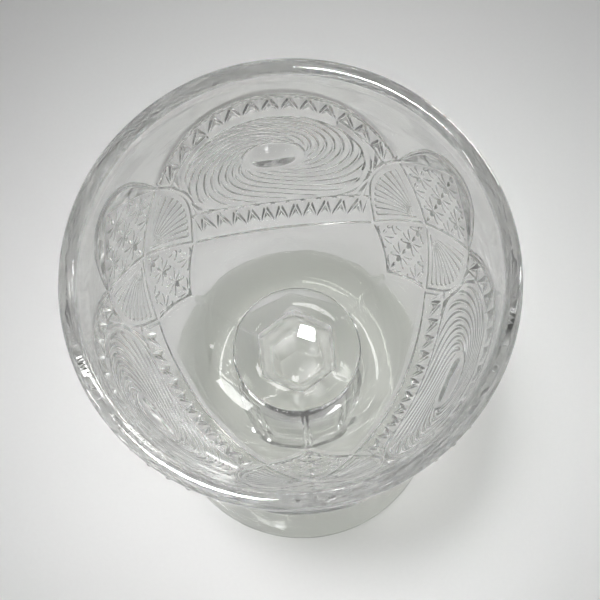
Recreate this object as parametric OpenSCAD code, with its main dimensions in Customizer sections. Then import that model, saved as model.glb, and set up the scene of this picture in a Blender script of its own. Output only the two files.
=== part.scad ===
// Footed pressed-glass bar goblet: one casting, drawn zone by zone from the rim down.
// Units are millimetres, +Z is up, and the origin is the centre of the foot's resting face.
// Depths are measured down from the rim, angles around the axis in degrees.

/* [Overall] */
// Height from the resting face to the rim
glass_h = 152; // [146:1:158]
// Outer diameter of the rim
rim_d = 82; // [80:1:84]

/* [Rim] */
// Thickness of the lip
lip_t = 3.3; // [2.8:0.1:3.8]
// Height of the plain lip zone
lip_h = 5; // [4:0.5:6]
// Radius of the lip's rounded edges
lip_round = 1.2; // [0.8:0.1:1.3]

/* [Bowl] */
// Depth at which the outer wall would close to a point
wall_close = 82.4; // [81:0.2:84]
// Fullness of the outer wall, larger is straighter at the top
wall_full = 2.1; // [2:0.05:2.2]
// Taper of the outer wall, smaller is rounder at the bottom
wall_taper = 0.76; // [0.74:0.01:0.78]
// Depth of the drinking space
inside_depth = 68; // [66:0.5:69]
// Fullness of the inner wall
inside_full = 1.92; // [1.9:0.01:2]
// Taper of the inner wall
inside_taper = 0.41; // [0.4:0.01:0.43]
// Depth of the lower edge of the patterned wall
pattern_low = 58; // [58:0.5:60]

/* [Relief] */
// How far the pressed pattern stands proud of the wall
relief = 0.9; // [0.7:0.1:1]
// Number of panels around the bowl
panels = 3; // [3:1:3]
// Half width of a panel
panel_half = 41.6; // [41:0.2:42]
// Depth of the arch above the middle of a panel
arch_top = 13.5; // [13:0.5:14]
// How much deeper the arch is at its ends
arch_drop = 13.5; // [13:0.5:14]
// Number of teeth in an arch
arch_teeth = 12; // [10:2:14]
// Degrees from one arch tooth to the next
arch_pitch = 5.7; // [5.4:0.1:5.8]
// Length of an arch tooth
arch_tooth_l = 5.3; // [5:0.1:5.5]
// Number of teeth in a lower band
band_teeth = 10; // [8:2:10]
// Degrees from one band tooth to the next
band_pitch = 6.5; // [6.2:0.1:6.6]
// Length of a band tooth
band_tooth_l = 4.6; // [4.2:0.1:4.8]
// Depth of the belt line below the middle of a panel
belt_depth = 56.8; // [56.5:0.1:57]
// Width of the belt ridge
belt_w = 1.1; // [0.9:0.1:1.2]

/* [Medallion] */
// Depth of the medallion's eye
eye_depth = 35.5; // [35:0.5:36]
// Half width of the medallion
medal_half = 32; // [30:0.5:32]
// Half height of the medallion
medal_h = 13.8; // [12.5:0.1:13.9]
// Size of the hollow eye as a share of the medallion
eye_share = 0.33; // [0.25:0.01:0.35]

/* [Fans and stars] */
// Depth of the point where the four lobes meet
cross_depth = 38.1; // [37.5:0.1:38.5]
// Depth of the upper tips of the fans
fan_top = 27.2; // [27:0.1:27.6]
// Depth of the lower tips of the fans
fan_low = 49.6; // [49.2:0.1:50]
// How far a fan's border bows out, in degrees
fan_bow = 7.4; // [6.8:0.2:7.6]
// Width of a fan's smooth border in degrees
fan_border = 2.6; // [2:0.2:3]
// Number of flutes in a fan
flutes = 9; // [7:1:10]
// Depth of the kite's lower tip
kite_tip = 57.4; // [57:0.1:57.6]
// Depth of the top of the upper star lobe
star_top = 16; // [15.5:0.5:17]

/* [Stem] */
// Radius of the bead around the collar under the bowl
collar_r = 15.5; // [15.4:0.1:15.7]
// Height of the bead
bead_h = 0.5; // [0.4:0.1:0.7]
// Height where the collar has drawn in to the stem
collar_z = 79.4; // [79:0.1:79.8]
// Height of the collar's upper face
bowl_z = 81.2; // [81:0.1:81.4]
// Half the distance across the stem's flats at its ends
stem_end = 9; // [8.6:0.1:9.4]
// Half the distance across the stem's flats along its shaft
stem_waist = 6.2; // [5.8:0.1:6.6]
// How late the shaft flares towards its ends, larger is straighter
stem_flare = 5; // [4:0.5:7]

/* [Foot] */
// Diameter of the foot
foot_d = 74; // [70:1:78]
// Height of the foot where the stem stands
foot_h = 10; // [9:0.5:11]
// Thickness of the foot's rounded edge
foot_edge = 3; // [2.6:0.1:3.4]
// How steeply the foot sweeps up to the stem
foot_sweep = 2.6; // [2:0.1:3.2]
// Width of the flat resting ring
foot_ring = 5; // [4:0.5:6]
// Depth of the hollow under the foot
foot_hollow = 1.6; // [1.2:0.1:1.8]

/* [Hidden] */
rim_r = rim_d / 2;
lip_in = rim_r - lip_t;
foot_r = foot_d / 2;
lobe_half = 180 / panels - panel_half;
panel_pitch = 360 / panels;
first_panel = 90;
first_cross = first_panel - panel_pitch / 2;
reach = rim_r + 10;

glass = [0.86, 0.89, 0.84, 0.45];
glass_relief = [0.93, 0.95, 0.91, 0.6];

// Radius of the outer wall and of the inner wall at a depth below the rim.
function wall_r(d) = rim_r * pow(1 - pow(d / wall_close, wall_full), wall_taper);
function inside_r(d) = lip_in * pow(max(0, 1 - pow(d / inside_depth, inside_full)), inside_taper);

// Evenly spaced depths from one depth to another, both ends included.
function depths(from, to, n) = [for (i = [0:n]) from + (to - from) * i / n];

// A zone of the bowl between two depths, as a half section.
module wall_section(from, to, n) {
    polygon(concat(
        [for (d = depths(from, to, n)) [wall_r(d), glass_h - d]],
        [for (d = depths(to, from, n)) [inside_r(d), glass_h - d]]));
}

// The thin layer on the outer wall that all the pressed relief lies in.
module relief_layer(from, to) {
    n = ceil((to - from) / 3);
    rotate_extrude($fn = 120)
        polygon(concat(
            [for (d = depths(from, to, n)) [wall_r(d), glass_h - d]],
            [for (d = depths(to, from, n)) [wall_r(d) + relief, glass_h - d]]));
}

// A point of the relief: angle from the middle of its panel or lobe, and depth.
function at(a, d) = [(wall_r(d) + relief) * sin(a), glass_h - d];

// Outlines drawn flat and pressed on to the wall, once for each panel or lobe.
module pressed(first, from, to) {
    intersection() {
        relief_layer(from, to);
        for (i = [0:panels - 1])
            rotate([0, 0, first + panel_pitch * i])
                rotate([90, 0, 90])
                    linear_extrude(height = reach) children();
    }
}

// Lines across a panel, as depths at an angle from its middle.
function arch_line(a) = arch_top + arch_drop * pow(abs(a) / 40, 2.4);
function band_line(a) = belt_depth - 6.6 - 6.9 * pow(abs(a) / 36, 2);
function belt_line(a) = belt_depth - 7.4 * pow(abs(a) / panel_half, 2.2);

// The outer half of a fan's border, as an angle at a depth.
function fan_edge(d) = lobe_half + fan_bow * sin(180 * (d - fan_top) / (fan_low - fan_top));

module rim_lip() {
    color(glass)
        rotate_extrude($fn = 120)
            union() {
                translate([lip_in, glass_h - lip_h]) square([lip_t, lip_h - lip_round]);
                translate([lip_in + lip_round, glass_h - lip_round])
                    square([lip_t - 2 * lip_round, lip_round]);
                for (x = [lip_in + lip_round, rim_r - lip_round])
                    translate([x, glass_h - lip_round]) circle(r = lip_round, $fn = 32);
            }
}

module bowl_wall() {
    color(glass)
        rotate_extrude($fn = 120) wall_section(lip_h, pattern_low, 18);
}

// Pointed teeth that hang from the arch over each panel.
module arch_teeth() {
    color(glass_relief)
        pressed(first_panel, arch_top - 1, arch_top + arch_drop + arch_tooth_l)
            for (i = [0:arch_teeth - 1]) {
                a = (i - (arch_teeth - 1) / 2) * arch_pitch;
                half = 0.47 * arch_pitch;
                polygon([at(a - half, arch_line(a - half)), at(a + half, arch_line(a + half)),
                         at(a, arch_line(a) + arch_tooth_l)]);
            }
}

// An oval on the middle of a panel, at a share of the medallion's size.
module medallion_oval(share) {
    polygon([for (i = [0:35])
        at(medal_half * share * cos(10 * i), eye_depth - medal_h * share * sin(10 * i))]);
}

// Raised ovals with a hollow eye, which stand for the whirl of curved vanes.
module whirl_medallions() {
    color(glass_relief)
        pressed(first_panel, eye_depth - medal_h - 1, eye_depth + medal_h + 1)
            difference() {
                medallion_oval(1);
                medallion_oval(eye_share);
            }
}

// Teeth in the straight band between a medallion and the belt.
module band_teeth() {
    color(glass_relief)
        pressed(first_panel, band_line(36) - 1, belt_depth)
            for (i = [0:band_teeth - 1]) {
                a = (i - (band_teeth - 1) / 2) * band_pitch;
                half = 0.46 * band_pitch;
                polygon([at(a - half, band_line(a - half)), at(a + half, band_line(a + half)),
                         at(a, band_line(a) + band_tooth_l)]);
            }
}

// Flutes that spread from the crossing to a curved border, two fans to a crossing.
module fan_lobes() {
    spread = (fan_low - fan_top - 4) / flutes;
    color(glass_relief)
        pressed(first_cross, fan_top - 1, fan_low + 1)
            for (side = [-1, 1]) {
                for (i = [0:flutes - 1]) {
                    d = fan_top + 2 + spread * (i + 0.5);
                    edge = fan_edge(d) - fan_border - 0.5;
                    polygon([at(side * 2.5, cross_depth + (d - cross_depth) * 0.12),
                             at(side * edge, d - 0.36 * spread),
                             at(side * edge, d + 0.36 * spread)]);
                }
                polygon(concat(
                    [for (d = depths(fan_top, fan_low, 10)) at(side * fan_edge(d), d)],
                    [for (d = depths(fan_low, fan_top, 10)) at(side * (fan_edge(d) - fan_border), d)]));
            }
}

// One pointed star of a given half width and half height in an outline's plane.
module star(a, d, half_a, half_d, points) {
    polygon([for (i = [0:2 * points - 1])
        let (k = i % 2 == 0 ? 1 : 0.38, turn = 180 * i / points)
        at(a + half_a * k * cos(turn), d + half_d * k * sin(turn))]);
}

// Star-cut field above each crossing.
module star_lobes() {
    color(glass_relief)
        pressed(first_cross, star_top - 1, cross_depth) {
            star(0, cross_depth - 8.5, 6.2, 5.4, 8);
            for (side = [-1, 1]) star(side * 7.4, cross_depth - 15.5, 5.2, 4.6, 8);
            star(0, cross_depth - 18.8, 2.1, 2.6, 4);
        }
}

// Star-cut kite below each crossing.
module star_kites() {
    color(glass_relief)
        pressed(first_cross, cross_depth, kite_tip + 0.5) {
            star(0, cross_depth + 4.6, 3.4, 3, 8);
            for (side = [-1, 1]) star(side * 6.6, cross_depth + 9.2, 4.6, 3.3, 8);
            star(0, cross_depth + 13.6, 4.2, 3.4, 8);
        }
}

// Raised line that closes the patterned wall at the bottom.
module belt_ridge() {
    color(glass_relief)
        pressed(first_panel, belt_line(panel_half) - 1, pattern_low)
            polygon(concat(
                [for (a = [-40:5:40]) at(a, belt_line(a))],
                [for (a = [40:-5:-40]) at(a, belt_line(a) + belt_w)]));
}

module lower_bowl() {
    foot_depth = glass_h - bowl_z;
    color(glass)
        rotate_extrude($fn = 120)
            polygon(concat(
                [for (d = depths(pattern_low, foot_depth, 6)) [wall_r(d), glass_h - d]],
                [[0, bowl_z], [0, glass_h - inside_depth]],
                [for (d = depths(inside_depth - 0.1, pattern_low, 9)) [inside_r(d), glass_h - d]]));
}

// Beaded ring under the bowl, with the cone that draws in from it to the stem.
module stem_collar() {
    hub_r = stem_end / cos(30) + 0.1;
    neck_r = collar_r - bead_h / 2;
    bead_z = bowl_z - bead_h;
    color(glass)
        rotate_extrude($fn = 120)
            union() {
                polygon(concat([[0, bowl_z], [0, collar_z]],
                    [for (i = [10:-1:0])
                        [neck_r + (hub_r - neck_r) * i / 10,
                         bead_z + (collar_z - bead_z) * sin(9 * i)]],
                    [[neck_r, bowl_z]]));
                translate([neck_r, bowl_z - bead_h / 2]) circle(r = bead_h / 2, $fn = 32);
            }
}

// Half section across one pair of the stem's flats: an even shaft that flares at both ends.
module stem_flats() {
    mid = (collar_z + foot_h) / 2;
    half = (collar_z - foot_h) / 2;
    offs = [for (i = [-12:12]) sin(7.5 * i)];
    function across(t) = stem_waist + (stem_end - stem_waist) * pow(abs(t), stem_flare);
    polygon(concat(
        [for (t = offs) [across(t), mid + half * t]],
        [for (i = [24:-1:0]) [-across(offs[i]), mid + half * offs[i]]]));
}

module stem() {
    color(glass)
        intersection_for (turn = [0, 60, 120])
            rotate([0, 0, turn])
                rotate([90, 0, 0])
                    linear_extrude(height = 4 * stem_end, center = true) stem_flats();
}

module foot() {
    hub_r = stem_end / cos(30) + 0.2;
    edge_r = foot_r - foot_edge / 2;
    hollow_r = edge_r - foot_ring;
    dome_r = (hollow_r * hollow_r + foot_hollow * foot_hollow) / (2 * foot_hollow);
    color(glass)
        rotate_extrude($fn = 120)
            difference() {
                union() {
                    polygon(concat([[0, 0], [edge_r, 0]],
                        [for (i = [12:-1:0])
                            [hub_r + (edge_r - hub_r) * i / 12,
                             foot_edge + (foot_h - foot_edge) * pow(1 - i / 12, foot_sweep)]],
                        [[0, foot_h]]));
                    translate([edge_r, foot_edge / 2])
                        circle(r = foot_edge / 2, $fn = 48);
                }
                intersection() {
                    translate([0, foot_hollow - dome_r]) circle(r = dome_r, $fn = 360);
                    translate([0, -1]) square([hollow_r + 1, foot_hollow + 2]);
                }
            }
}

rim_lip();
bowl_wall();
arch_teeth();
whirl_medallions();
band_teeth();
fan_lobes();
star_lobes();
star_kites();
belt_ridge();
lower_bowl();
stem_collar();
stem();
foot();
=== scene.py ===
import math

import bpy
import numpy as np
from mathutils import Matrix, Vector


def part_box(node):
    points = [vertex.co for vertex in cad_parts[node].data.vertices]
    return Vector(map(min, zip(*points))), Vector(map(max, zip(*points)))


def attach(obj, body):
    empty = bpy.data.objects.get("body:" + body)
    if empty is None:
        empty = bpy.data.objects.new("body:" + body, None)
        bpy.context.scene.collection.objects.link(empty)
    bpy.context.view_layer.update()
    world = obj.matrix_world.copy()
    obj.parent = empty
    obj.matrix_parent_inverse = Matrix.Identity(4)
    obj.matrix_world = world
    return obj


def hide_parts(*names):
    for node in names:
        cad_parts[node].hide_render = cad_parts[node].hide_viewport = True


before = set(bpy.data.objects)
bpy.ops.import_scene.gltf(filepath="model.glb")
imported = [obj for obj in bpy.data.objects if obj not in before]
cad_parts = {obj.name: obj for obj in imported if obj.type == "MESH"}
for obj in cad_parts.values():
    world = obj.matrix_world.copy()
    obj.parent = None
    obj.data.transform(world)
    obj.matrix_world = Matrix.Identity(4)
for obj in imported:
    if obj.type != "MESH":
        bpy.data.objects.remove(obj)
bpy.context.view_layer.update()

# Sizes are in millimetres until a mesh is made. The frame gives the zones' places,
# and the rest repeats the design: depths run down from the rim, and panel angles
# are counted from the middle of a panel.
MM = 0.001


def low(node):
    return [float(v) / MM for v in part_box(node)[0]]


def high(node):
    return [float(v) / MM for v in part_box(node)[1]]


GLASS_H = high("rim_lip")[2]
RIM_R = high("rim_lip")[0]
LIP_Z = low("rim_lip")[2]
PATTERN_Z = low("bowl_wall")[2]
COLLAR_TOP_Z = high("stem_collar")[2]
COLLAR_LOW_Z = low("stem_collar")[2]
STEM_END = high("stem")[0]
FOOT_TOP_Z = high("foot")[2]
FOOT_R = high("foot")[0]

LIP_T = 3.3
LIP_CROWN = 1.7
WALL_CLOSE, WALL_FULL, WALL_TAPER = 82.4, 2.1, 0.76
INSIDE_DEPTH, INSIDE_FULL, INSIDE_TAPER = 68.0, 1.92, 0.41
RELIEF = 0.9

PANELS = 3
PANEL_PITCH = 360 / PANELS
PANEL_HALF = 41.6
LOBE_HALF = PANEL_PITCH / 2 - PANEL_HALF
FIRST_PANEL = 90.0

ARCH_TOP, ARCH_DROP, ARCH_NOTCHES, ARCH_TOOTH, ARCH_SPAN = 13.5, 13.5, 13, 5.3, 74
BAND_NOTCHES, BAND_TOOTH, BAND_SPAN = 11, 4.6, 72
BELT_DEPTH, BELT_W = 56.8, 1.1
EYE_DEPTH, MEDAL_HALF, MEDAL_H = 35.4, 32.0, 14.0
VANES, VANE_TURN, EYE_SHARE = 16, 165.0, 0.33
CROSS_DEPTH, FAN_TOP, FAN_LOW, KITE_TIP, STAR_TOP = 38.1, 27.2, 49.6, 57.4, 15.0
FLUTES, FAN_BORDER, FAN_BOW = 9, 1.9, 7.4
LENS_TOP = 11.8
STAR_ACROSS, STAR_DOWN = 6.3, 5.6

SEAM_W, SEAM_H, BEAD_R = 0.7, 0.16, 0.25
STEM_WAIST, STEM_FLARE = 6.2, 5.0
FOOT_EDGE, FOOT_RING, FOOT_HOLLOW = 3.0, 5.0, 1.6

# The camera's angles in degrees, its place in rim radii and its lens in millimetres.
CAMERA_UP, CAMERA_ROLL, CAMERA_TURN = 76.74, -3.965, -2.69
CAMERA_AWAY, CAMERA_SIDE, CAMERA_RISE = 5.8, 0.036, 0.114
SENSOR, LENS = 36, 81.534
FLOOR_HALF = 6.0     # metres

ROUND = 360          # points around a revolved piece
COLUMNS = 360        # columns across one panel
PLAIN_ROWS = 8       # rows of the plain band above the relief
RELIEF_ROWS = 216    # rows of the relief
PLAIN_DEPTH = 10.6   # depth at which the relief's fine rows start
COARSE = 4           # the inner wall keeps every fourth row and column


# ---------------------------------------------------------------- the bowl's outline

def wall_r(d):
    return RIM_R * (1 - (np.maximum(d, 0) / WALL_CLOSE) ** WALL_FULL) ** WALL_TAPER


def inside_r(d):
    left = np.clip(1 - (np.maximum(d, 0) / INSIDE_DEPTH) ** INSIDE_FULL, 0, 1)
    return (RIM_R - LIP_T) * left ** INSIDE_TAPER


def ripple(az, z):
    """The slow waves of fire-polished glass, never outward: 0 to about a tenth of a millimetre."""
    a = np.radians(az)
    waves = (np.sin(3 * a + 0.7 + z / 31) + np.sin(5 * a - 1.9 - z / 23)
             + 0.7 * np.sin(8 * a + z / 17) + 0.5 * np.sin(z / 5.5 + 2 * np.sin(2 * a)))
    return 0.016 * (3.2 + waves)


def rings(z):
    """Faint rings that the plunger left inside, strongest near the rim."""
    down = GLASS_H - z
    return 0.05 * (1 + np.sin(down * 1.05 + 1.2)) * np.exp(-((down - 9) / 9) ** 2)


def seam(az, r, half_width, height):
    """The low ridge that the three-part mould leaves, at the crossings between panels."""
    off = (az - FIRST_PANEL + PANEL_PITCH / 2) % PANEL_PITCH
    off = np.radians(np.minimum(off, PANEL_PITCH - off)) * r
    return height * np.clip(1.5 * (1 - off / half_width), 0, 1)


DEPTH_TABLE = np.linspace(0, 75, 1501)
_STEP_R = np.diff(wall_r(DEPTH_TABLE))
_STEP_D = np.diff(DEPTH_TABLE)
ALONG_TABLE = np.concatenate([[0], np.cumsum(np.hypot(_STEP_R, _STEP_D))])


def along(d):
    """Distance down the outer wall's curve from the rim."""
    return np.interp(d, DEPTH_TABLE, ALONG_TABLE)


# ---------------------------------------------------------------- the pressed relief
# Heights are shares of RELIEF: 1 is a crest, 0 the plain wall, and cuts go below 0.

def smooth(x):
    x = np.clip(x, 0, 1)
    return x * x * (3 - 2 * x)


def rib(distance, half_width):
    """A half-round ridge."""
    return np.sqrt(np.clip(1 - (distance / half_width) ** 2, 0, 1))


def strip(distance, half_width):
    """A low rounded band, gentle enough to see through on both sides."""
    return 0.66 * np.clip(1 - (distance / half_width) ** 2, 0, 1)


def share(x):
    """Where x lies between the whole numbers around it, from -1 to 1 with 0 in the middle."""
    return 2 * (x - np.floor(x)) - 1


def mix(one, two, part):
    return one + (two - one) * part


def arch_line(a):
    return ARCH_TOP + ARCH_DROP * (np.abs(a) / 40) ** 2.4


def band_line(a):
    return BELT_DEPTH - 6.6 - 6.9 * (np.abs(a) / 36) ** 2


def belt_line(a):
    return BELT_DEPTH - 7.4 * (np.abs(a) / PANEL_HALF) ** 2.2


def fan_edge(d):
    t = np.clip((d - FAN_TOP) / (FAN_LOW - FAN_TOP), 0, 1)
    return LOBE_HALF + FAN_BOW * np.sin(np.pi * t)


def teeth(a, d, line, length, notches, span):
    """A row of roof-shaped points hanging from a line, with a bevelled notch between each two."""
    across = np.abs(share(a * notches / span + 0.5))
    down = (d - line) / length
    point = 0.35 + 0.85 * (across - down)
    brink = 0.6 + 0.4 * across
    notch = -1.3 * np.clip(brink - down, 0, 1)
    half_pitch = np.radians(span / notches / 2) * wall_r(d)
    tooth = mix(notch, point, smooth((across - down) * half_pitch / 0.34 + 0.5))
    fade = smooth(down / 0.06) * smooth((1.06 - down) / 0.06)
    return np.where(np.abs(a) < span / 2, tooth * fade, 0)


def whirl(a, d):
    """Curved vanes running out counter-clockwise, seen from inside, around a hollow eye."""
    right = -(a - 0.6) / MEDAL_HALF
    up = -(d - EYE_DEPTH) / MEDAL_H
    rho = (np.abs(right) ** 2.3 + np.abs(up) ** 2.3) ** (1 / 2.3)
    angle = np.degrees(np.arctan2(up, right))
    out = np.clip((rho - EYE_SHARE) / (1 - EYE_SHARE), 0, 1)
    flute = np.abs(share(VANES * (angle - VANE_TURN * out ** 0.9) / 360)) ** 2.2
    body = 0.2 + 0.2 * (1 - rho ** 2) + 0.5 * flute * smooth(out / 0.1)
    height = body * smooth((rho - EYE_SHARE) / 0.03) * smooth((1.01 - rho) / 0.035)
    ring = 0.8 * rib(rho - 0.29, 0.07)
    dimple = mix(-1.6, 0.65, np.sqrt(rho ** 2 + 0.0009) / 0.25)
    return np.where(rho < 0.24, dimple, np.maximum(height, ring)), rho


def beside(x, y, degrees):
    """Distance from a line through the crossing that leaves it at this angle."""
    return x * math.sin(math.radians(degrees)) - y * math.cos(math.radians(degrees))


def star_cuts(x, y):
    """Eight-rayed stars cut in a raised field, in rows and columns."""
    x = share(x / STAR_ACROSS + 0.5) * STAR_ACROSS / 2
    y = share(y / STAR_DOWN + 0.5) * STAR_DOWN / 2
    depth = np.zeros_like(x)
    for degrees, reach in ((0, 3.0), (45, 3.5), (90, 2.7), (135, 3.5)):
        turn = math.radians(degrees)
        out = np.abs(x * math.cos(turn) + y * math.sin(turn))
        off = np.abs(y * math.cos(turn) - x * math.sin(turn))
        width = 0.25 + 0.4 * smooth((reach - out) / 1.6)
        depth = np.maximum(depth, np.clip(1 - off / width, 0, 1) * smooth((reach - out) / 0.7))
    return 0.2 - 0.62 * depth


def fan(x, y, edge, high_angle, low_angle):
    """Ribs that spread from a point inside a smooth border of even width."""
    high_side, low_side = -beside(x, y, high_angle), beside(x, y, low_angle)
    inset = np.minimum(edge, np.minimum(high_side, low_side))
    middle, half = (high_angle + low_angle) / 2, (low_angle - high_angle) / 2
    start = FAN_BORDER / math.sin(math.radians(half))
    fx, fy = x - start * math.cos(math.radians(middle)), y - start * math.sin(math.radians(middle))
    angle = np.degrees(np.arctan2(fy, np.maximum(fx, 1e-6)))
    spread = FLUTES * (angle - high_angle) / (low_angle - high_angle)
    ribs = -0.3 + 0.78 * np.abs(share(spread)) * smooth(np.hypot(fx, fy) / 4)
    border = 0.3 - 0.1 * np.clip(inset / FAN_BORDER, 0, 1)
    return mix(border, ribs, smooth((inset - FAN_BORDER) / 0.3 + 0.5))


def to_line(x, y, x1, y1):
    """Distance from points to the straight line between the crossing and x1, y1."""
    t = np.clip((x * x1 + y * y1) / (x1 * x1 + y1 * y1), 0, 1)
    return np.hypot(x - t * x1, y - t * y1)


def crossing(a, d):
    """The four lobes around a crossing: two fans, and star-cut fields above and below."""
    c = PANEL_PITCH / 2 - np.abs(a)
    radius = wall_r(d)
    x = np.radians(c) * radius
    y = along(d) - along(CROSS_DEPTH)
    tip = math.radians(LOBE_HALF)
    high_x, high_y = tip * wall_r(FAN_TOP), along(FAN_TOP) - along(CROSS_DEPTH)
    low_x, low_y = tip * wall_r(FAN_LOW), along(FAN_LOW) - along(CROSS_DEPTH)
    high_angle, low_angle = (math.degrees(math.atan2(v, u)) for u, v in
                             ((high_x, high_y), (low_x, low_y)))
    angle = np.degrees(np.arctan2(y, np.maximum(x, 1e-6)))
    edge = (fan_edge(d) - c) * np.radians(1) * radius
    gable = STAR_TOP + (FAN_TOP - STAR_TOP) * c / LOBE_HALF
    arch = LENS_TOP + (FAN_TOP - LENS_TOP) * (c / LOBE_HALF) ** 2.6
    kite = KITE_TIP + (FAN_LOW - KITE_TIP) * c / LOBE_HALF
    inside = c < LOBE_HALF
    fanned = (angle > high_angle) & (angle < low_angle) & (edge > 0)
    starred = inside & (((angle <= high_angle) & (d > gable)) | ((angle >= low_angle) & (d < kite)))
    lens = inside & (d <= gable) & (d > arch)

    height = np.zeros_like(a)
    height = np.where(fanned, fan(x, y, edge, high_angle, low_angle), height)
    height = np.where(starred, star_cuts(x, y - np.where(y < 0, -7.2, 7.9)), height)
    height = np.where(lens, mix(-0.7, 0.6, (d - arch) / np.maximum(gable - arch, 0.3)), height)

    on_edge = (d > FAN_TOP) & (d < FAN_LOW)
    lines = strip(np.minimum(to_line(x, y, high_x, high_y), to_line(x, y, low_x, low_y)), 0.9)
    lines = np.maximum(lines, np.where(inside, strip(d - gable, 0.9), 0))
    lines = np.maximum(lines, np.where(c < LOBE_HALF + 0.4, strip(d - kite - 0.3, 1.1), 0))
    lines = np.maximum(lines, np.where(inside, 0.5 * rib(d - arch, 0.5), 0))
    lines = np.maximum(lines, np.where(on_edge, strip(edge, 0.9), 0))
    free = (c >= fan_edge(d)) | (~on_edge & ~inside)
    return height, lines, free


def fillers(a, d, rho):
    """Facets that spread from where a medallion meets a fan, into the corners above and below."""
    x = np.radians(np.abs(a) - 34.5) * wall_r(d)
    y = d - 37
    facet = 0.1 + 0.75 * np.abs(share(np.degrees(np.arctan2(y, x)) / 24))
    return np.where((rho > 1.04) & (np.abs(a) > 20), facet * smooth((rho - 1.04) / 0.04), 0)


def relief(a, d):
    """Height of the pressed relief at an angle and a depth."""
    medal, rho = whirl(a, d)
    arch, band, belt = arch_line(a), band_line(a), belt_line(a)
    height = np.where((d > arch + ARCH_TOOTH) & (d < band), fillers(a, d, rho), 0)
    height = height + teeth(a, d, arch, ARCH_TOOTH, ARCH_NOTCHES, ARCH_SPAN)
    band_tooth = BAND_TOOTH + 1.2 * (a / 36) ** 2
    height = height + teeth(a, d, band, band_tooth, BAND_NOTCHES, BAND_SPAN)
    height = np.where(rho < 1.01, medal, height)
    height = height - 0.8 * np.where(np.abs(a) < 41, rib(d - arch + 2.2, 0.9), 0)
    lines = np.where(np.abs(a) < 39.5, 0.75 * rib(d - arch, 0.45), 0)
    lines = np.maximum(lines, np.where(np.abs(a) < 37, 0.8 * rib(d - band, 0.5), 0))
    lines = np.maximum(lines, np.where(np.abs(a) < PANEL_HALF, strip(d - belt - BELT_W / 2, 1.0), 0))
    cross, cross_lines, free = crossing(a, d)
    height = np.where(free, height, cross)
    lines = np.where(free, np.maximum(lines, cross_lines), cross_lines)
    return np.where(lines > 0, np.maximum(height, lines), height)


# ---------------------------------------------------------------- mesh building

class Solid:
    """A closed mesh put together from rings. Clear faces lie on a neighbouring piece."""

    def __init__(self):
        self.points, self.count = [], 0
        self.faces, self.clear = [], []

    def row(self, r, az, z):
        """Points at radius r, azimuth az and height z; returns their indices."""
        r, az, z = np.broadcast_arrays(r, np.radians(az), z)
        self.points.append(np.stack([r * np.cos(az), r * np.sin(az), z], -1).reshape(-1, 3))
        first, self.count = self.count, self.count + r.size
        return np.arange(first, self.count)

    def add(self, faces, clear=False):
        self.faces.extend(faces)
        self.clear.extend([clear] * len(faces))

    def band(self, one, two, closed=True, clear=False):
        """Faces between two rows of the same length."""
        ends = (np.roll(one, -1), np.roll(two, -1))
        quads = np.stack([one, ends[0], ends[1], two], -1)
        self.add(quads[: None if closed else -1].tolist(), clear)

    def disc(self, ring, clear=False):
        self.add([ring.tolist()], clear)

    def fan_band(self, fine, coarse, clear=True):
        """Faces between a fine row and a coarse one that keeps every COARSE-th point."""
        faces = []
        for i in range(len(coarse) - 1):
            outer = fine[i * COARSE:(i + 1) * COARSE + 1].tolist()
            faces.append(outer + [int(coarse[i + 1]), int(coarse[i])])
        self.add(faces, clear)

    def make(self, name, glass, slot, *nodes):
        mesh = bpy.data.meshes.new(name)
        mesh.from_pydata((np.concatenate(self.points) * MM).tolist(), [], self.faces)
        mesh.materials.append(glass)
        mesh.materials.append(joined_glass())
        mesh.polygons.foreach_set("material_index", np.array(self.clear, dtype=np.int32))
        mesh.polygons.foreach_set("use_smooth", ~np.array(self.clear, dtype=bool))
        mesh.update()
        face_out(mesh)
        piece = bpy.data.objects.new(name, mesh)
        bpy.context.scene.collection.objects.link(piece)
        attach(piece, "root")
        if nodes:
            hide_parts(*nodes)
        return piece


def face_out(mesh):
    """Turns a closed mesh's faces outward, and keeps its edges sharp around clear faces."""
    import bmesh
    work = bmesh.new()
    work.from_mesh(mesh)
    bmesh.ops.recalc_face_normals(work, faces=work.faces)
    for edge in work.edges:
        if len({face.material_index for face in edge.link_faces}) > 1:
            edge.smooth = False
    work.to_mesh(mesh)
    work.free()


# ---------------------------------------------------------------- materials

def joined_glass():
    """The unseen face where two zones of the one casting meet."""
    name = "glass_joined"
    if name in bpy.data.materials:
        return bpy.data.materials[name]
    material = bpy.data.materials.new(name)
    material.use_nodes = True
    shader = material.node_tree.nodes["Principled BSDF"]
    shader.inputs["Base Color"].default_value = (0.93, 0.95, 0.90, 1)
    shader.inputs["Alpha"].default_value = 0.0
    return material


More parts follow.
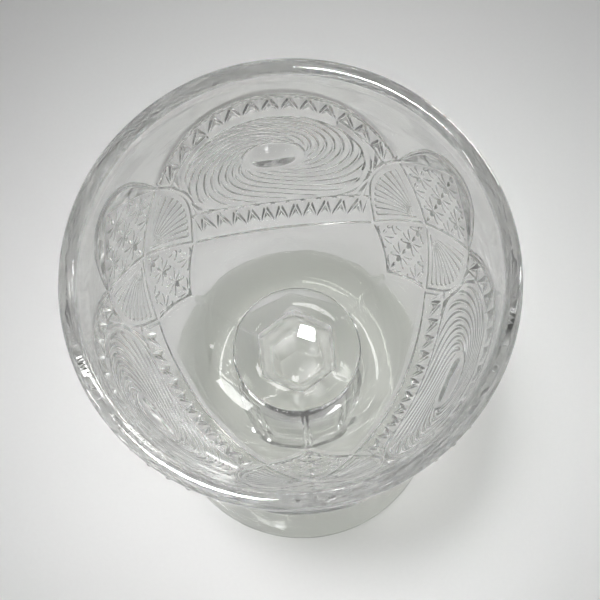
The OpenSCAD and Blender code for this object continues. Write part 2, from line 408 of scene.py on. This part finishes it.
def glass(name, tint, grain, grain_depth, rough_low, rough_high):
    """Clear soda glass: a faint tint, slow fire-polish waves and a fine mould grain.

    Shadow and diffuse rays meet a thin film in its place, darker where it is seen edge-on."""
    material = bpy.data.materials.new(name)
    material.use_nodes = True
    nodes, links = material.node_tree.nodes, material.node_tree.links
    shader = nodes["Principled BSDF"]
    shader.inputs["Base Color"].default_value = (*tint, 1)
    shader.inputs["IOR"].default_value = 1.52
    shader.inputs["Transmission Weight"].default_value = 1.0
    place = nodes.new("ShaderNodeTexCoord")

    slow = nodes.new("ShaderNodeTexNoise")
    slow.inputs["Scale"].default_value = 70
    slow.inputs["Detail"].default_value = 2
    fine = nodes.new("ShaderNodeTexNoise")
    fine.inputs["Scale"].default_value = grain
    fine.inputs["Detail"].default_value = 3
    for texture in (slow, fine):
        links.new(place.outputs["Object"], texture.inputs["Vector"])

    wave = nodes.new("ShaderNodeBump")
    wave.inputs["Strength"].default_value = 0.5
    wave.inputs["Distance"].default_value = 0.00012
    links.new(slow.outputs["Fac"], wave.inputs["Height"])
    pits = nodes.new("ShaderNodeBump")
    pits.inputs["Strength"].default_value = 0.5
    pits.inputs["Distance"].default_value = grain_depth
    links.new(fine.outputs["Fac"], pits.inputs["Height"])
    links.new(wave.outputs["Normal"], pits.inputs["Normal"])
    links.new(pits.outputs["Normal"], shader.inputs["Normal"])

    haze = nodes.new("ShaderNodeMapRange")
    haze.inputs["From Min"].default_value = 0.4
    haze.inputs["From Max"].default_value = 0.75
    haze.inputs["To Min"].default_value = rough_low
    haze.inputs["To Max"].default_value = rough_high
    links.new(fine.outputs["Fac"], haze.inputs["Value"])
    links.new(haze.outputs["Result"], shader.inputs["Roughness"])

    shade = nodes.new("ShaderNodeBsdfTransparent")
    edge_on = nodes.new("ShaderNodeLayerWeight")
    edge_on.inputs["Blend"].default_value = 0.4
    film = nodes.new("ShaderNodeValToRGB")
    film.color_ramp.elements[0].color = (0.962, 0.965, 0.957, 1)
    film.color_ramp.elements[1].color = (0.42, 0.43, 0.40, 1)
    links.new(edge_on.outputs["Facing"], film.inputs["Fac"])
    links.new(film.outputs["Color"], shade.inputs["Color"])
    path = nodes.new("ShaderNodeLightPath")
    either = nodes.new("ShaderNodeMath")
    either.operation = "MAXIMUM"
    links.new(path.outputs["Is Shadow Ray"], either.inputs[0])
    links.new(path.outputs["Is Diffuse Ray"], either.inputs[1])
    blend = nodes.new("ShaderNodeMixShader")
    links.new(either.outputs["Value"], blend.inputs["Fac"])
    links.new(shader.outputs["BSDF"], blend.inputs[1])
    links.new(shade.outputs["BSDF"], blend.inputs[2])
    links.new(blend.outputs["Shader"], nodes["Material Output"].inputs["Surface"])
    return material


def paper(name, colour):
    """Pale matt studio floor with a barely visible grain."""
    material = bpy.data.materials.new(name)
    material.use_nodes = True
    nodes, links = material.node_tree.nodes, material.node_tree.links
    shader = nodes["Principled BSDF"]
    shader.inputs["Roughness"].default_value = 0.75
    noise = nodes.new("ShaderNodeTexNoise")
    noise.inputs["Scale"].default_value = 900
    ramp = nodes.new("ShaderNodeValToRGB")
    ramp.color_ramp.elements[0].color = (*[v * 0.97 for v in colour], 1)
    ramp.color_ramp.elements[1].color = (*colour, 1)
    place = nodes.new("ShaderNodeTexCoord")
    links.new(place.outputs["Object"], noise.inputs["Vector"])
    links.new(noise.outputs["Fac"], ramp.inputs["Fac"])
    links.new(ramp.outputs["Color"], shader.inputs["Base Color"])
    return material


# ---------------------------------------------------------------- the glass, zone by zone

AROUND = np.arange(ROUND) * 360 / ROUND
CLEAR_TINT = (0.976, 0.981, 0.967)


def outer_point(d):
    z = GLASS_H - d
    return wall_r(d) - ripple(AROUND, z), z


def inner_point(d):
    z = GLASS_H - d
    return inside_r(d) + 0.6 * ripple(AROUND + 40, z) + rings(z), z


def rim_lip(material):
    """The fire-polished lip: rounded shoulders and an almost flat crown."""
    solid = Solid()
    lip_depth = GLASS_H - LIP_Z
    rows = []
    for d in np.linspace(lip_depth, LIP_CROWN, 8):
        r, z = inner_point(d)
        rows.append(solid.row(r, AROUND, z))
    r_in, _ = inner_point(LIP_CROWN)
    r_out, _ = outer_point(LIP_CROWN)
    middle, half = (r_in + r_out) / 2, (r_out - r_in) / 2
    for turn in np.radians(np.linspace(172, 8, 19)):
        x = math.copysign(abs(math.cos(turn)) ** 0.72, math.cos(turn))
        crown = LIP_CROWN - 0.02 - ripple(AROUND, GLASS_H)
        rows.append(solid.row(middle + half * x, AROUND,
                              GLASS_H - LIP_CROWN + crown * math.sin(turn) ** 0.8))
    for d in np.linspace(LIP_CROWN, lip_depth, 8):
        r, z = outer_point(d)
        rows.append(solid.row(r, AROUND, z))
    for one, two in zip(rows, rows[1:]):
        solid.band(one, two)
    solid.band(rows[-1], rows[0], clear=True)
    return solid.make("rim_glass", material, "glass_smooth", "rim_lip")


# Each panel is a third of the wall with a third of every kind of relief on it.
PANEL_NODES = ("bowl_wall", "arch_teeth", "whirl_medallions", "band_teeth",
               "fan_lobes", "star_lobes", "star_kites", "belt_ridge")


def panel(number, material):
    """One third of the patterned wall: relief outside, smooth inside."""
    solid = Solid()
    middle = FIRST_PANEL + PANEL_PITCH * number
    a = np.linspace(-PANEL_PITCH / 2, PANEL_PITCH / 2, COLUMNS + 1)
    depths = np.concatenate([
        np.linspace(GLASS_H - LIP_Z, PLAIN_DEPTH, PLAIN_ROWS, endpoint=False),
        np.linspace(PLAIN_DEPTH, GLASS_H - PATTERN_Z, RELIEF_ROWS + 1)])
    angle, depth = np.meshgrid(a, depths)
    z = GLASS_H - depth
    height = relief(angle, depth)
    radius = wall_r(depth) - ripple(angle + middle, z) + RELIEF * height
    outer = [solid.row(radius[i], a + middle, z[i]) for i in range(len(depths))]
    inner = []
    for i in range(0, len(depths), COARSE):
        az = a[::COARSE] + middle
        inner_r = inside_r(depths[i]) + 0.6 * ripple(az + 40, z[i, 0]) + rings(z[i, 0])
        inner.append(solid.row(inner_r, az, z[i, 0]))
    for rows in (outer, inner):
        for one, two in zip(rows, rows[1:]):
            solid.band(one, two, closed=False)
    solid.fan_band(outer[0], inner[0])
    solid.fan_band(outer[-1], inner[-1])
    for side in (0, -1):
        fine = np.array([row[side] for row in outer])
        coarse = np.array([row[side] for row in inner])
        solid.fan_band(fine, coarse)
    return solid.make(f"panel_glass_{number + 1}", material, "glass_pressed", *PANEL_NODES)


def lower_bowl(material):
    """The plain bottom of the bowl, thick under the drinking space."""
    solid = Solid()
    top, bottom = GLASS_H - PATTERN_Z, GLASS_H - COLLAR_TOP_Z
    outer = []
    for d in np.linspace(top, bottom, 34):
        r, z = outer_point(d)
        ridge = seam(AROUND, r, SEAM_W, SEAM_H) * smooth((d - top) / 1.5)
        outer.append(solid.row(r + ridge, AROUND, z))
    inner = []
    for t in np.radians(np.linspace(90, 4, 40)):
        d = top + (INSIDE_DEPTH - top) * math.cos(t)
        r, z = inner_point(min(d, INSIDE_DEPTH - 0.004))
        fade = smooth((INSIDE_DEPTH - d) / 2)
        r = inside_r(min(d, INSIDE_DEPTH - 0.004)) * (1 - fade) + r * fade
        inner.append(solid.row(r, AROUND, z))
    for rows in (outer, inner):
        for one, two in zip(rows, rows[1:]):
            solid.band(one, two)
    solid.disc(outer[-1], clear=True)
    solid.disc(inner[-1])
    solid.band(outer[0], inner[0], clear=True)
    return solid.make("bowl_base_glass", material, "glass_smooth", "lower_bowl")


def hexagon(across):
    """Radius of a six-sided section with softened corners, whose flats face 0, 60, 120..."""
    total = np.zeros(ROUND)
    for k in range(6):
        total += np.maximum(np.cos(np.radians(AROUND - 60 * k)), 0) ** 26
    return across * total ** (-1 / 26)


def stem_collar(material):
    """The beaded ring under the bowl and the cone that draws in from it to the six-sided stem."""
    solid = Solid()
    r, _ = outer_point(GLASS_H - COLLAR_TOP_Z)
    start = r + seam(AROUND, r, SEAM_W, SEAM_H)
    hub = hexagon(STEM_END)
    rows = [solid.row(start, AROUND, COLLAR_TOP_Z)]
    for turn in np.radians(np.linspace(70, -60, 9)):
        rows.append(solid.row(start - 0.15 + BEAD_R * math.cos(turn), AROUND,
                              COLLAR_TOP_Z - BEAD_R + BEAD_R * math.sin(turn)))
    low = COLLAR_TOP_Z - 2 * BEAD_R
    for t in np.linspace(0.05, 1, 24):
        r = start * (1 - t) + hub * t - 0.4 * ripple(AROUND, 60) * math.sin(math.pi * t)
        ridge = 2 * seam(AROUND, r, 0.6 * SEAM_W, SEAM_H) * max(math.sin(math.pi * t), 0) ** 0.3
        rows.append(solid.row(r, AROUND, mix(low, COLLAR_LOW_Z, math.sin(t * math.pi / 2)) - ridge))
    for one, two in zip(rows, rows[1:]):
        solid.band(one, two)
    solid.disc(rows[0], clear=True)
    solid.disc(rows[-1], clear=True)
    return solid.make("collar_glass", material, "glass_smooth", "stem_collar")


def stem(material):
    """The six-sided stem, an even shaft that flares at both ends."""
    solid = Solid()
    middle, half = (COLLAR_LOW_Z + FOOT_TOP_Z) / 2, (COLLAR_LOW_Z - FOOT_TOP_Z) / 2
    rows = []
    for off in np.sin(np.linspace(-math.pi / 2, math.pi / 2, 90)):
        across = mix(STEM_WAIST, STEM_END, abs(off) ** STEM_FLARE)
        wave = 0.35 * ripple(AROUND, middle + half * off) * smooth((1 - abs(off)) * 10)
        rows.append(solid.row(hexagon(across) - wave, AROUND, middle + half * off))
    for one, two in zip(rows, rows[1:]):
        solid.band(one, two)
    solid.disc(rows[0], clear=True)
    solid.disc(rows[-1], clear=True)
    return solid.make("stem_glass", material, "glass_smooth", "stem")


def foot(material):
    """The round foot: a swept top, a rounded edge and a shallow hollow inside a flat ring."""
    solid = Solid()
    edge_r = FOOT_R - FOOT_EDGE / 2
    hub = hexagon(STEM_END)
    rows = [solid.row(hub, AROUND, FOOT_TOP_Z)]
    for t in np.linspace(0.03, 1, 40):
        r = hub * (1 - t) + edge_r * t
        round_share = smooth(t / 0.25)
        r = r * (1 - round_share) + (STEM_END * 1.05 * (1 - t) + edge_r * t) * round_share
        z = FOOT_EDGE + (FOOT_TOP_Z - FOOT_EDGE) * (1 - t) ** 2.6
        rows.append(solid.row(r + 0 * AROUND, AROUND, z - 0.3 * ripple(AROUND, r) * smooth(t / 0.1)))
    for turn in np.radians(np.linspace(80, -90, 16)):
        bulge = FOOT_EDGE / 2
        r = edge_r + bulge * math.cos(turn) - 0.6 * ripple(AROUND, 0)
        rows.append(solid.row(r, AROUND, bulge + bulge * math.sin(turn)))
    ring_in = edge_r - FOOT_RING
    for r in np.linspace(edge_r - 1, ring_in, 5):
        rows.append(solid.row(r + 0 * AROUND, AROUND, 0.0))
    dome_r = (ring_in ** 2 + FOOT_HOLLOW ** 2) / (2 * FOOT_HOLLOW)
    for r in np.linspace(ring_in * 0.96, 0.6, 30):
        z = FOOT_HOLLOW - dome_r + math.sqrt(dome_r ** 2 - r ** 2)
        rows.append(solid.row(r + 0 * AROUND, AROUND, z))
    for one, two in zip(rows, rows[1:]):
        solid.band(one, two)
    solid.disc(rows[0], clear=True)
    solid.disc(rows[-1])
    return solid.make("foot_glass", material, "glass_smooth", "foot")


# ---------------------------------------------------------------- studio

def area_light(name, place, aim, size, power, spread=180):
    data = bpy.data.lights.new(name, "AREA")
    data.spread = math.radians(spread)
    data.shape = "RECTANGLE"
    data.size, data.size_y = size
    data.energy = power
    lamp = bpy.data.objects.new(name, data)
    lamp.location = place
    lamp.rotation_euler = (Vector(aim) - Vector(place)).to_track_quat("-Z", "Y").to_euler()
    bpy.context.scene.collection.objects.link(lamp)


def world_light(low_grey, high_grey):
    """A soft grey room, darker at the horizon than overhead."""
    world = bpy.data.worlds.new("studio")
    bpy.context.scene.world = world
    world.use_nodes = True
    nodes, links = world.node_tree.nodes, world.node_tree.links
    place = nodes.new("ShaderNodeTexCoord")
    split = nodes.new("ShaderNodeSeparateXYZ")
    ramp = nodes.new("ShaderNodeValToRGB")
    ramp.color_ramp.elements[0].color = (low_grey, low_grey, low_grey, 1)
    ramp.color_ramp.elements[0].position = 0.05
    ramp.color_ramp.elements[1].color = (high_grey, high_grey, high_grey, 1)
    ramp.color_ramp.elements[1].position = 0.75
    links.new(place.outputs["Generated"], split.inputs["Vector"])
    links.new(split.outputs["Z"], ramp.inputs["Fac"])
    links.new(ramp.outputs["Color"], nodes["Background"].inputs["Color"])


def camera():
    """Almost straight down into the bowl, a little from the front, and slightly rolled."""
    elevation, roll, turn = map(math.radians, (CAMERA_UP, CAMERA_ROLL, CAMERA_TURN))
    unit = RIM_R * MM
    distance, side, rise = CAMERA_AWAY * unit, CAMERA_SIDE * unit, CAMERA_RISE * unit
    right = Vector((1, 0, 0))
    down = Vector((0, -math.sin(elevation), -math.cos(elevation)))
    ahead = Vector((0, math.cos(elevation), -math.sin(elevation)))
    place = side * right + rise * down - distance * ahead + Vector((0, 0, GLASS_H * MM))
    cos, sin = math.cos(roll), math.sin(roll)
    right, down = cos * right - sin * down, sin * right + cos * down
    axes = Matrix((right, -down, -ahead)).transposed().to_4x4()
    data = bpy.data.cameras.new("camera")
    data.sensor_width = SENSOR
    data.lens = LENS
    data.clip_start = 0.01
    data.clip_end = 50
    eye = bpy.data.objects.new("camera", data)
    eye.matrix_world = Matrix.Rotation(turn, 4, "Z") @ Matrix.Translation(place) @ axes
    bpy.context.scene.collection.objects.link(eye)
    bpy.context.scene.camera = eye


def floor():
    mesh = bpy.data.meshes.new("floor")
    half = FLOOR_HALF
    mesh.from_pydata([(-half, -half, 0), (half, -half, 0), (half, half, 0), (-half, half, 0)],
                     [], [(0, 1, 2, 3)])
    mesh.materials.append(paper("floor_paper", (0.80, 0.80, 0.79)))
    plane = bpy.data.objects.new("floor", mesh)
    plane.location.z = -0.0002
    bpy.context.scene.collection.objects.link(plane)


smooth_glass = glass("glass_smooth", CLEAR_TINT, 900, 0.000004, 0.0, 0.03)
pressed_glass = glass("glass_pressed", CLEAR_TINT, 1800, 0.000006, 0.01, 0.06)

rim_lip(smooth_glass)
for number in range(PANELS):
    panel(number, pressed_glass)
lower_bowl(smooth_glass)
stem_collar(smooth_glass)
stem(smooth_glass)
foot(smooth_glass)

floor()
world_light(0.05, 0.15)
area_light("overhead", (-0.12, 0.04, 1.1), (0, 0, 0), (0.18, 0.18), 0.118, 15)
area_light("window", (0.58, 0.54, 0.12), (0, 0, 0.09), (0.36, 0.22), 0.4, 40)
area_light("left", (-0.70, -0.15, 0.50), (0, 0, 0.1), (0.04, 0.50), 0.2, 90)
area_light("right", (0.75, 0.10, 0.40), (0, 0, 0.1), (0.04, 0.50), 0.2, 90)
area_light("back", (0.05, 0.85, 0.50), (0, 0, 0.1), (0.50, 0.05), 0.2, 90)
camera()
bpy.context.scene.view_settings.view_transform = "Standard"

cycles = bpy.context.scene.cycles
cycles.max_bounces = 32
cycles.transmission_bounces = 32
cycles.glossy_bounces = 16
cycles.transparent_max_bounces = 64
